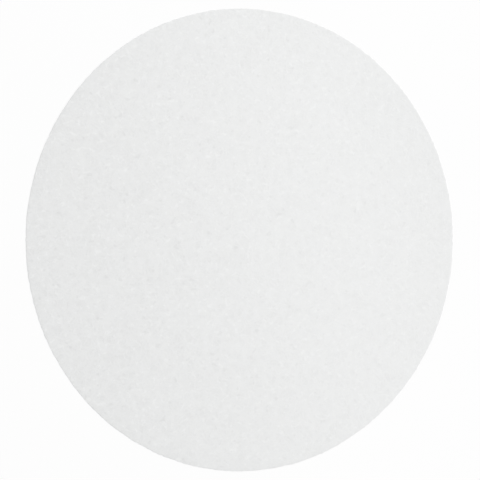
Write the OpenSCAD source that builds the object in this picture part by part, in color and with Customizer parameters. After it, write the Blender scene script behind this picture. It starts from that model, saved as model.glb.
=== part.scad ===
// Round laboratory filter paper: one flat disc of plain absorbent cellulose sheet, punched with a
// ring knife. It lies as it would on a bench, with the face that the knife entered upwards.
// Millimetres, +Z up, origin at the centre of the underside.

/* [Sheet] */
// Diameter of the disc
disc_d = 110; // [55:5:240]
// Thickness of the sheet, away from its rim
sheet_t = 0.18; // [0.14:0.01:0.4]

/* [Cut rim] */
// Width of the band that the knife pulls down as it enters
roll_w = 0.5; // [0.2:0.1:2]
// How far the upper face sinks across that band
roll_drop = 0.03; // [0.01:0.01:0.12]
// How much further out the knife leaves the underside than it enters above
wall_lean = 0.02; // [0:0.01:0.06]

/* [Smoothness] */
// Straight steps in the curve of the rolled band
roll_steps = 8; // [4:1:16]

/* [Hidden] */
disc_r = disc_d / 2;
// The wall's upper edge, where the rolled band ends
lip_r = disc_r - wall_lean;
$fn = 180;

// A point of the rolled band in the half section, as [radius, height]. The band is a quarter of an
// ellipse: it leaves the flat upper face at 0 degrees and meets the cut wall upright at 90 degrees.
function roll_point(angle) = [
    lip_r - roll_w * (1 - sin(angle)),
    sheet_t - roll_drop * (1 - cos(angle))
];

// Half of the sheet's section, from its axis out to the rim: flat underside, cut wall, rolled band
module half_section() {
    polygon(concat(
        [[0, 0], [disc_r, 0]],
        [for (step = [roll_steps:-1:0]) roll_point(90 * step / roll_steps)],
        [[0, sheet_t]]
    ));
}

module paper_disc() {
    color([0.93, 0.93, 0.925])
        rotate_extrude()
            half_section();
}

paper_disc();
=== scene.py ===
"""A round filter paper lying flat, with the face that the ring knife entered upwards.

One closed mesh stands for the CAD's disc. It has the CAD's radius, thickness and rolled rim, and adds
what the plain solid leaves out: the felted relief of both faces, the uneven cut and the paper itself.
Lengths are in metres where nothing else is said, in the row frame: +Z up, origin at the centre of
the underside.
"""

import math

import bpy
import numpy as np
from mathutils import Matrix, Vector

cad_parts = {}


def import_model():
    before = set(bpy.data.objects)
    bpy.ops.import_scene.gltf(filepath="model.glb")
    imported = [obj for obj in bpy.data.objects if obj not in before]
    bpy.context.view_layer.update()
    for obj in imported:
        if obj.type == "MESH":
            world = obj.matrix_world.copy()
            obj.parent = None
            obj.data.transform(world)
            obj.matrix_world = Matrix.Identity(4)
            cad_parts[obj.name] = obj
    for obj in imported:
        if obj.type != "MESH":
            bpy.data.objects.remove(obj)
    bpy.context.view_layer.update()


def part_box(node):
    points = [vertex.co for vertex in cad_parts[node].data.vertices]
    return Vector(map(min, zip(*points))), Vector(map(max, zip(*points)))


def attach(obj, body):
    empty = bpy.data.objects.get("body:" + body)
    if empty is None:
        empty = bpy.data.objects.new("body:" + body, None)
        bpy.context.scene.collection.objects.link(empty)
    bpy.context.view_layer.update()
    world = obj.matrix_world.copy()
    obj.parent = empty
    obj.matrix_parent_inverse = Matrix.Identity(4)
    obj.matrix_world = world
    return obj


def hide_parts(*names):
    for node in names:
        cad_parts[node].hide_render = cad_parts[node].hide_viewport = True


MM = 0.001
TURN = math.tau

# The rim as the knife leaves it, as in part.scad
ROLL_WIDTH = 0.5 * MM
ROLL_DROP = 0.03 * MM
WALL_LEAN = 0.02 * MM

# The mesh's rings. The upper face shows, so its triangles are smaller than the underside's. On both
# faces a ring has six more vertices than the one inside it, and those of the rim and the wall have
# twice as many as the upper face's last
UPPER_RINGS = 134
ROLL_RINGS = 7
WALL_RINGS = 3
UNDER_RINGS = 84
RING_GROWTH = 6
RIM_SIDES = 2 * RING_GROWTH * UPPER_RINGS

# An edge that turns by more than this is shaded as sharp: the wall's upper edge and its foot
SHARP_FROM = math.radians(50)

# The relief of the felted fibres: the lengths of its waves, and its mean slope on each face
FELT_SHORTEST = 0.9 * MM
FELT_LONGEST = 3.5 * MM
FELT_WAVES = 300
UPPER_SLOPE = 0.012
UNDER_SLOPE = 0.008
UPPER_SEED = 1
UNDER_SEED = 2

# How uneven the cut is, how many of its waves go round the disc, from the longest to the shortest,
# and how far in from the rim it shifts the mesh
CUT_UNEVENNESS = 0.035 * MM
CUT_LONGEST = 4
CUT_SHORTEST = 300
CUT_REACH = 1.5 * MM
CUT_SEED = 7

# The bake map: the upper face, rim and wall fill the large circle, the underside the small one
UPPER_ISLAND = (0.385, 0.615)
UPPER_ISLAND_RADIUS = 0.375
UNDER_ISLAND = (0.80, 0.20)
UNDER_ISLAND_RADIUS = 0.19

# The camera, left of the disc and high above it, turned so that +Y is up in the picture
CAMERA_LENS = 150.0
CAMERA_TILT = math.radians(22.53)
CAMERA_ROLL = math.radians(0.46)
CAMERA_DISTANCE = 0.4741
CAMERA_AIM = Vector((-2.21 * MM, -0.02 * MM, 0))
CAMERA_NEAR = 0.01

# The studio: a raking softbox beyond the upper right of the picture, a weak strip softbox low over the
# disc's right half, and a room that is pale at eye level and dimmer above
KEY_DIRECTION = math.radians(32)
KEY_HEIGHT = math.radians(38)
KEY_DISTANCE = 2.2
KEY_SIZE = (0.96, 0.96)
KEY_POWER = 32.1
STRIP_PLACE = Vector((0.0313, 0.0084, 0.060))
STRIP_SIZE = (0.177, 0.04)
STRIP_POWER = 0.0054
ROOM_PALE = 0.947
ROOM_DIM = 0.526
ROOM_PALE_UP_TO = math.sin(math.radians(8))
ROOM_DIM_FROM = math.sin(math.radians(20))

# The floor: how far it reaches each way, how far below the underside it lies, its glow and its colour
FLOOR_REACH = 5.0
FLOOR_GAP = 0.01 * MM
FLOOR_GLOW = 0.89
FLOOR_COLOUR = (0.1, 0.1, 0.1, 1)

# The paper's noises: the size in millimetres, the finer octaves, and how strong each of those is.
# Flocs are the clouds in which the pulp settles
FLOCS = (2.4, 3.0, 1.0)
GRAIN = (0.5, 3.0, 0.5)
PORES = (1.1, 0.0, 0.5)
LOOSE_ENDS = (0.9, 0.0, 0.5)
BENDS = (1.6, 1.0, 0.5)

# How much thinner the noises are down through the sheet than along it
LAYER_THINNESS = 4

# Fibres and tufts are strands: their pitch in millimetres and the way of the first
FIBRES = (0.44, 0.4)
TUFTS = (1.3, 0.1)

# A strand is the middle level of a noise, to this far off it, and so many times longer than wide
STRAND_NOISE = (1.0, 0.0, 0.5)
STRAND_LEVEL = 0.5
STRAND_REACH = 0.12
STRAND_STRETCH = 6.0

# In how many ways strands cross, how far they bend in millimetres, and how far apart each way is
# read from the noise, so that no two are alike
STRAND_WAYS = 4
STRAND_BENDING = 1.2
STRAND_SHIFT = (31, 17)

# The noise levels at which a pore or a loose fibre end begins, and is at its full strength
PORE_LEVELS = (0.28, 0.16)
LOOSE_LEVELS = (0.60, 0.78)

# The pulp's colour at brightness 0 and 1, and what each part of the grain adds to the brightness. The
# pores' share is painted shade in them, and the loose fibre ends' share a painted highlight on them
PULP_DIM = (0.771, 0.776, 0.774, 1)
PULP_BRIGHT = (0.901, 0.908, 0.906, 1)
FLOC_SHARE = 0.69
FIBRE_SHARE = 0.09
TUFT_SHARE = 0.15
# A painted highlight on the loose fibre ends
LOOSE_HIGHLIGHT_SHARE = 0.26
# Painted shade in the pores
PORE_SHADE_SHARE = -0.28

# The grain is painted to follow the light: how strong it is at the dimmer -X rim and at the brighter
# +X rim, about its mean brightness
GRAIN_STRENGTH_WITH_LIGHT = (1.1, 0.75)
MEAN_BRIGHTNESS = 0.51

# The heights in the bump, and the finish between the fibres and on them
FIBRE_RELIEF = 0.004 * MM
TUFT_RELIEF = 0.006 * MM
ROUGHNESS = (0.95, 0.82)
SPECULAR = 0.3
SHEEN = 0.05
SHEEN_ROUGHNESS = 0.6

# A band of painted shade along the rim: its width in millimetres, and how much it is dimmed
RIM_SHADE_WIDTH = 1.8
RIM_SHADE_DIMMING = 0.0075


# ---------------------------------------------------------------- mesh


def felt(x, y, slope, seed):
    """Relief of matted fibres at each point: waves of many lengths in every direction, all as steep."""
    draw = np.random.default_rng(seed)
    way = draw.uniform(0, TURN, FELT_WAVES)
    length = np.exp(draw.uniform(math.log(FELT_SHORTEST), math.log(FELT_LONGEST), FELT_WAVES))
    phase = draw.uniform(0, TURN, FELT_WAVES)
    height = np.zeros_like(x)
    for k in range(FELT_WAVES):
        along = x * math.cos(way[k]) + y * math.sin(way[k])
        height += length[k] * np.cos(TURN * along / length[k] + phase[k])
    # So far each wave's slope reaches TURN, and their sum's is that times the root of half their number
    return height * slope / (TURN * math.sqrt(FELT_WAVES / 2))


def unevenness(angle):
    """How far the cut lies inside the true circle at each angle. The longer its waves, the stronger."""
    draw = np.random.default_rng(CUT_SEED)
    waves = np.arange(CUT_LONGEST, CUT_SHORTEST)
    size = draw.standard_normal((2, len(waves))) / np.sqrt(waves)
    turned = np.outer(angle, waves)
    shift = np.cos(turned) @ size[0] + np.sin(turned) @ size[1]
    return (shift.max() - shift) * CUT_UNEVENNESS / shift.std()


def join_rings(inner, outer):
    """Triangles between two rings of vertex numbers, each evenly spaced from the same angle.

    A ring of one vertex is a centre. Each triangle steps on along the ring whose next vertex comes
    first round the disc."""
    inner_steps = len(inner) if len(inner) > 1 else 0
    outer_steps = len(outer) if len(outer) > 1 else 0
    triangles = []
    i = 0
    j = 0
    while i < inner_steps or j < outer_steps:
        outer_is_next = (j + 1) * inner_steps <= (i + 1) * outer_steps
        if i == inner_steps or (j < outer_steps and outer_is_next):
            triangles.append((inner[i % len(inner)], outer[j], outer[(j + 1) % outer_steps]))
            j += 1
        else:
            triangles.append((inner[i], outer[j % len(outer)], inner[(i + 1) % inner_steps]))
            i += 1
    return triangles


def section(radius, thickness):
    """The disc's rings, from the middle of its upper face, over the rim, to that of its underside.

    Each is (radius, height, vertex count, share), where share runs from 1 on the upper face, down the
    wall, to 0 on the underside."""
    lip = radius - WALL_LEAN
    wall_top = thickness - ROLL_DROP
    rings = []
    for i in range(UPPER_RINGS + 1):
        rings.append(((lip - ROLL_WIDTH) * i / UPPER_RINGS, thickness, max(1, RING_GROWTH * i), 1.0))
    for i in range(1, ROLL_RINGS + 1):
        angle = TURN / 4 * i / ROLL_RINGS
        inset = ROLL_WIDTH * (1 - math.sin(angle))
        rings.append((lip - inset, wall_top + ROLL_DROP * math.cos(angle), RIM_SIDES, 1.0))
    for i in range(1, WALL_RINGS + 1):
        share = 1 - i / WALL_RINGS
        rings.append((radius - WALL_LEAN * share, wall_top * share, RIM_SIDES, share))
    for i in range(UNDER_RINGS, -1, -1):
        rings.append((radius * i / (UNDER_RINGS + 1), 0.0, max(1, RING_GROWTH * i), 0.0))
    return rings


def vertex_angles(rings):
    """The angle of every vertex round the disc."""
    return np.concatenate([np.arange(count) * TURN / count for _, _, count, _ in rings])


def per_vertex(rings, values):
    """One value a ring, given to each of its vertices."""
    return np.repeat(values, [count for _, _, count, _ in rings], axis=-1)


def disc_places(rings, radius):
    """The place of every vertex. The felt's relief and the uneven cut are taken off the plain solid."""
    ring_radius, height, _, share = per_vertex(rings, np.transpose(rings))
    angle = vertex_angles(rings)
    nearness = np.clip(1 - (radius - ring_radius) / CUT_REACH, 0, 1)
    ring_radius -= nearness * unevenness(angle)
    x = ring_radius * np.cos(angle)
    y = ring_radius * np.sin(angle)
    upper = felt(x, y, UPPER_SLOPE, UPPER_SEED)
    under = felt(x, y, UNDER_SLOPE, UNDER_SEED)
    height -= share * (upper.max() - upper)
    height += (1 - share) * (under - under.min())
    return np.column_stack([x, y, height])


def lay_bake_map(mesh, rings):
    """The map that the export bakes into: each face spread flat about its own centre.

    The rim and the wall go on with the upper face."""
    along = np.cumsum([0] + [math.dist(a[:2], b[:2]) for a, b in zip(rings, rings[1:])])
    foot = next(i for i, ring in enumerate(rings) if ring[3] == 0)
    out = np.array([ring[0] for ring in rings])
    angle = vertex_angles(rings)
    way = np.array([np.cos(angle), np.sin(angle)])
    upper_place = way * per_vertex(rings, along / along[foot] * UPPER_ISLAND_RADIUS)
    under_place = way * per_vertex(rings, out / out[foot] * UNDER_ISLAND_RADIUS)

    corner = np.empty(len(mesh.loops), np.int32)
    mesh.loops.foreach_get("vertex_index", corner)
    first_under = sum(ring[2] for ring in rings[: foot + 1])
    is_under = (corner.reshape(-1, 3) >= first_under).any(axis=1).repeat(3)[:, None]
    place = np.where(
        is_under,
        under_place.T[corner] + UNDER_ISLAND,
        upper_place.T[corner] + UPPER_ISLAND,
    )
    mesh.uv_layers.new(name="OFBake").data.foreach_set("uv", place.ravel())


def disc_mesh(radius, thickness):
    """The closed mesh of the whole disc, smooth but for the wall's two edges."""
    rings = section(radius, thickness)
    triangles = []
    first = 0
    previous = []
    for _, _, count, _ in rings:
        ring = range(first, first + count)
        if previous:
            triangles += join_rings(previous, ring)
        first += count
        previous = ring
    mesh = bpy.data.meshes.new("filter_paper")
    mesh.from_pydata(disc_places(rings, radius).tolist(), [], triangles)
    mesh.polygons.foreach_set("use_smooth", np.ones(len(triangles), bool))
    mesh.set_sharp_from_angle(angle=SHARP_FROM)
    lay_bake_map(mesh, rings)
    mesh.update()
    return mesh


# ---------------------------------------------------------------- nodes


def add_node(tree, kind, inputs, **settings):
    """A node with its settings made, and each input linked, or set where a plain value is given."""
    node = tree.nodes.new(kind)
    for name, value in settings.items():
        setattr(node, name, value)
    for socket, value in inputs.items():
        if isinstance(value, bpy.types.NodeSocket):
            tree.links.new(value, node.inputs[socket])
        else:
            node.inputs[socket].default_value = value
    return node


def add_maths(tree, operation, *values):
    return add_node(tree, "ShaderNodeMath", dict(enumerate(values)), operation=operation).outputs[0]


def add_vector(tree, operation, *values):
    inputs = dict(enumerate(values))
    return add_node(tree, "ShaderNodeVectorMath", inputs, operation=operation).outputs["Vector"]


def add_sum(tree, *parts):
    """The sum of some values, each times its share."""
    total = 0.0
    for value, share in parts:
        total = add_maths(tree, "MULTIPLY_ADD", value, share, total)
    return total


def add_range(tree, value, start, end, at_start, at_end):
    """The value carried smoothly from one range to another, and held beyond both ends."""
    inputs = {"Value": value, "From Min": start, "From Max": end, "To Min": at_start, "To Max": at_end}
    node = add_node(tree, "ShaderNodeMapRange", inputs, interpolation_type="SMOOTHSTEP")
    return node.outputs[0]


def add_noise(tree, place, size, octaves, strength):
    inputs = {"Vector": place, "Scale": 1 / size, "Detail": octaves, "Roughness": strength}
    return add_node(tree, "ShaderNodeTexNoise", inputs)


def noise_level(tree, place, noise):
    return add_noise(tree, place, *noise).outputs["Fac"]


# ---------------------------------------------------------------- paper


def add_strands(tree, place, pitch, angle):
    """Strands that run about one way: the middle level of a noise that is drawn out along it."""
    turned = add_node(
        tree, "ShaderNodeVectorRotate", {"Vector": place, "Angle": angle}, rotation_type="Z_AXIS"
    )
    shift_along, shift_across = STRAND_SHIFT
    across = 1 / pitch
    drawn = add_node(
        tree,
        "ShaderNodeMapping",
        {
            "Vector": turned.outputs[0],
            "Location": (angle * shift_along, angle * shift_across + pitch, 0),
            "Scale": (across / STRAND_STRETCH, across, across),
        },
    )
    level = noise_level(tree, drawn.outputs[0], STRAND_NOISE)
    off_level = add_maths(tree, "ABSOLUTE", add_maths(tree, "SUBTRACT", level, STRAND_LEVEL))
    return add_range(tree, off_level, 0.0, STRAND_REACH, 1.0, 0.0)


def add_mat(tree, place, pitch, first_angle):
    """Strands of one pitch that cross in several ways, the highest on top."""
    mat = add_strands(tree, place, pitch, first_angle)
    for way in range(1, STRAND_WAYS):
        more = add_strands(tree, place, pitch, first_angle + way * math.pi / STRAND_WAYS)
        mat = add_maths(tree, "MAXIMUM", mat, more)
    return mat


def add_pulp(tree, place):
    """What the paper is made of: how much there is of each part at a place, by its name."""
    bend = add_noise(tree, place, *BENDS).outputs["Color"]
    bent = add_vector(tree, "MULTIPLY_ADD", bend, (STRAND_BENDING, STRAND_BENDING, 0), place)
    fibres = add_mat(tree, bent, *FIBRES)
    # Loose fibre ends, which the brightness lightens as a painted highlight
    lift = add_range(tree, noise_level(tree, bent, LOOSE_ENDS), *LOOSE_LEVELS, 0.0, 1.0)
    return {
        "fibres": fibres,
        "tufts": add_mat(tree, bent, *TUFTS),
        "loose": add_maths(tree, "MULTIPLY", fibres, lift),
        "grain": noise_level(tree, place, GRAIN),
        "flocs": noise_level(tree, place, FLOCS),
        "pores": add_range(tree, noise_level(tree, place, PORES), *PORE_LEVELS, 0.0, 1.0),
    }


def add_bump(tree, pulp):
    """The relief that is too fine for the mesh."""
    height = add_sum(
        tree,
        (pulp["tufts"], TUFT_RELIEF),
        (pulp["fibres"], FIBRE_RELIEF),
        (pulp["grain"], FIBRE_RELIEF),
    )
    bump = add_node(tree, "ShaderNodeBump", {"Height": height, "Strength": 1.0, "Distance": 1.0})
    return bump.outputs[0]


def add_brightness(tree, pulp, place, rim):
    """How bright the pulp is. Its grain is painted fainter towards the brighter-lit +X side, its pores
    darker as painted shade, and its loose fibre ends lighter as a painted highlight.
    """
    even = add_sum(
        tree,
        (pulp["flocs"], FLOC_SHARE),
        (pulp["fibres"], FIBRE_SHARE),
        (pulp["tufts"], TUFT_SHARE),
        # Loose fibre ends lighter, as a painted highlight
        (pulp["loose"], LOOSE_HIGHLIGHT_SHARE),
        # Pores darker, as painted shade
        (pulp["pores"], PORE_SHADE_SHARE),
    )
    across = add_node(tree, "ShaderNodeSeparateXYZ", {0: place}).outputs["X"]
    # The grain's strength, painted to fade towards the +X side, where the light is brighter
    strength = add_range(tree, across, -rim, rim, *GRAIN_STRENGTH_WITH_LIGHT)
    off_mean = add_maths(tree, "SUBTRACT", even, MEAN_BRIGHTNESS)
    return add_maths(tree, "MULTIPLY_ADD", off_mean, strength, MEAN_BRIGHTNESS)


def add_rim_shade(tree, place, rim):
    """Painted shade at the rim: all of the colour is kept, but for a little less at the rim."""
    flat = add_vector(tree, "MULTIPLY", place, (1, 1, 0))
    out = add_node(tree, "ShaderNodeVectorMath", {0: flat}, operation="LENGTH").outputs["Value"]
    return add_range(tree, out, rim - RIM_SHADE_WIDTH, rim, 1.0, 1.0 - RIM_SHADE_DIMMING)


def paper_material(radius):
    """Matt felted pulp. A place in it is in millimetres, its height times the noises' thinness."""
    material = bpy.data.materials.new("paper")
    material.use_nodes = True
    tree = material.node_tree
    shader = tree.nodes["Principled BSDF"]
    rim = radius / MM

    metres = tree.nodes.new("ShaderNodeTexCoord").outputs["Object"]
    place = add_vector(tree, "MULTIPLY", metres, (1 / MM, 1 / MM, LAYER_THINNESS / MM))
    pulp = add_pulp(tree, place)
    tree.links.new(add_bump(tree, pulp), shader.inputs["Normal"])

    brightness = add_brightness(tree, pulp, place, rim)
    white = add_node(
        tree,
        "ShaderNodeMix",
        {"Factor": brightness, "A": PULP_DIM, "B": PULP_BRIGHT},
        data_type="RGBA",
    )
    # The pulp's colour, dimmed along the rim by painted shade
    colour = add_vector(tree, "MULTIPLY", white.outputs["Result"], add_rim_shade(tree, place, rim))
    tree.links.new(colour, shader.inputs["Base Color"])

    roughness = add_range(tree, pulp["fibres"], 0.0, 1.0, *ROUGHNESS)
    tree.links.new(roughness, shader.inputs["Roughness"])
    shader.inputs["Specular IOR Level"].default_value = SPECULAR
    shader.inputs["Sheen Weight"].default_value = SHEEN
    shader.inputs["Sheen Roughness"].default_value = SHEEN_ROUGHNESS
    return material


# ---------------------------------------------------------------- studio


def add_camera():
    camera = bpy.data.objects.new("camera", bpy.data.cameras.new("camera"))
    bpy.context.scene.collection.objects.link(camera)
    camera.data.lens = CAMERA_LENS
    camera.data.clip_start = CAMERA_NEAR
    back = Vector((-math.sin(CAMERA_TILT), 0, math.cos(CAMERA_TILT)))
    up = Vector((0, 1, 0))
    turn = Matrix((up.cross(back), up, back)).transposed() @ Matrix.Rotation(CAMERA_ROLL, 3, "Z")
    camera.matrix_world = Matrix.Translation(CAMERA_AIM + back * CAMERA_DISTANCE) @ turn.to_4x4()
    bpy.context.scene.camera = camera


def add_softbox(name, place, size, power):
    """A softbox that faces the disc, with the first side of its size level. The camera doesn't see it."""
    light = bpy.data.lights.new(name, "AREA")
    light.shape = "RECTANGLE"
    light.size, light.size_y = size
    light.energy = power
    lamp = bpy.data.objects.new(name, light)
    bpy.context.scene.collection.objects.link(lamp)
    lamp.location = place
    lamp.rotation_euler = (-place).to_track_quat("-Z", "Y").to_euler()
    lamp.visible_camera = False


def add_lamps():
    level = math.cos(KEY_HEIGHT)
    way = Vector((
        math.cos(KEY_DIRECTION) * level,
        math.sin(KEY_DIRECTION) * level,
        math.sin(KEY_HEIGHT),
    ))
    add_softbox("key", way * KEY_DISTANCE, KEY_SIZE, KEY_POWER)
    add_softbox("strip", STRIP_PLACE, STRIP_SIZE, STRIP_POWER)


def add_room():
    """Pale all round at eye level, which a low view sees past the floor, and dimmer above."""
    bpy.context.scene.view_settings.view_transform = "Standard"
    world = bpy.data.worlds.new("room")
    bpy.context.scene.world = world
    world.use_nodes = True
    tree = world.node_tree
    way = tree.nodes.new("ShaderNodeTexCoord").outputs["Generated"]
    climb = add_node(tree, "ShaderNodeSeparateXYZ", {0: way}).outputs["Z"]
    strength = add_range(tree, climb, ROOM_PALE_UP_TO, ROOM_DIM_FROM, ROOM_PALE, ROOM_DIM)
    background = tree.nodes["Background"]
    background.inputs["Color"].default_value = (1, 1, 1, 1)
    tree.links.new(strength, background.inputs["Strength"])


def add_floor():
    """A pale sheet that shines by itself, as in a product picture, so that it hardly shows a shadow."""
    far = FLOOR_REACH
    mesh = bpy.data.meshes.new("floor")
    corners = [(-far, -far, 0), (far, -far, 0), (far, far, 0), (-far, far, 0)]
    mesh.from_pydata(corners, [], [(0, 1, 2, 3)])
    floor = bpy.data.objects.new("floor", mesh)
    bpy.context.scene.collection.objects.link(floor)
    floor.location.z = -FLOOR_GAP
    material = bpy.data.materials.new("floor")
    material.use_nodes = True
    shader = material.node_tree.nodes["Principled BSDF"]
    shader.inputs["Base Color"].default_value = FLOOR_COLOUR
    shader.inputs["Roughness"].default_value = 1.0
    shader.inputs["Specular IOR Level"].default_value = 0.0
    shader.inputs["Emission Color"].default_value = (1, 1, 1, 1)
    shader.inputs["Emission Strength"].default_value = FLOOR_GLOW
    mesh.materials.append(material)


# ---------------------------------------------------------------- scene


def main():
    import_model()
    # The frame's copy of the CAD's circle is a polygon, and a corner on one axis gives the true radius
    _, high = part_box("paper_disc")
    radius = max(high.x, high.y)

    add_camera()
    add_lamps()
    add_room()
    add_floor()

    disc = bpy.data.objects.new("filter_paper", disc_mesh(radius, high.z))
    bpy.context.scene.collection.objects.link(disc)
    disc.data.materials.append(paper_material(radius))
    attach(disc, "root")
    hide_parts("paper_disc")


main()
